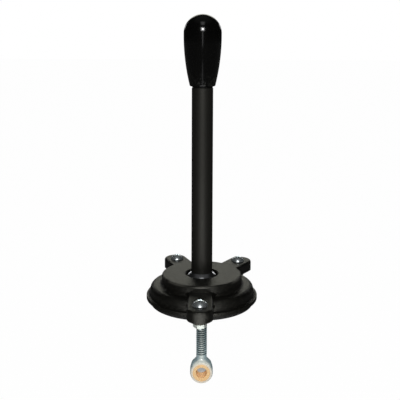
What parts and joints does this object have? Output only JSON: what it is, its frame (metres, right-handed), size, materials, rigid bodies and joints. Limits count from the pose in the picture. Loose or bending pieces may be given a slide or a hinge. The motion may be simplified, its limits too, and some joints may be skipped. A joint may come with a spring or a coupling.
{
  "type": "ball-pivot control lever",
  "caption": "Hand lever with an egg-shaped knob on a ball pivot in a round stepped housing with screw lugs, and a threaded linkage eye below.",
  "frame": {"origin": "centre of the base gasket's lower face, on the lever's axis, where the housing's locating spigot passes through it", "axes": "+Z along the lever towards the knob, -Y towards the single front lug, +X to the right seen from the front"},
  "size_m": [0.1, 0.1522, 0.3353],
  "materials": {
    "knob_gloss": "high gloss, moulded",
    "insert_steel": "black oxide",
    "shaft_black": "satin black coating on steel",
    "ball_steel": "polished hardened steel",
    "pin_steel": "ground",
    "seat_nylon": "black nylon",
    "spring_steel": "phosphated spring steel",
    "housing_black": "black anodised, satin",
    "gasket_rubber": "matt",
    "screw_zinc": "bright zinc plate",
    "nut_zinc": "bright zinc plate",
    "bolt_zinc": "blue-white zinc plate",
    "bush_bronze": "sintered bronze"
  },
  "bodies": {
    "base": {"housing": "housing_black", "base_gasket": "gasket_rubber", "upper_seat": "seat_nylon", "lower_seat": "seat_nylon", "disc_spring": "spring_steel", "retaining_ring": "spring_steel", "lug_screws": "screw_zinc", "lug_nuts": "nut_zinc"},
    "gimbal": {"cross_pin": "pin_steel"},
    "lever": {"knob": "knob_gloss", "knob_insert": "insert_steel", "lever_shaft": "shaft_black", "pivot_ball": "ball_steel", "lock_nut": "nut_zinc", "eye_bolt": "bolt_zinc", "eye_bush": "bush_bronze"}
  },
  "joints": [
    {"name": "gate_tilt", "type": "hinge", "parent": "base", "child": "gimbal", "pos_m": [0, 0, 0.0124], "axis": [1, 0, 0], "range_deg": [-9, 9]},
    {"name": "throw_tilt", "type": "hinge", "parent": "gimbal", "child": "lever", "pos_m": [0, 0, 0.0124], "axis": [0, 1, 0], "range_deg": [-13, 13]}
  ]
}
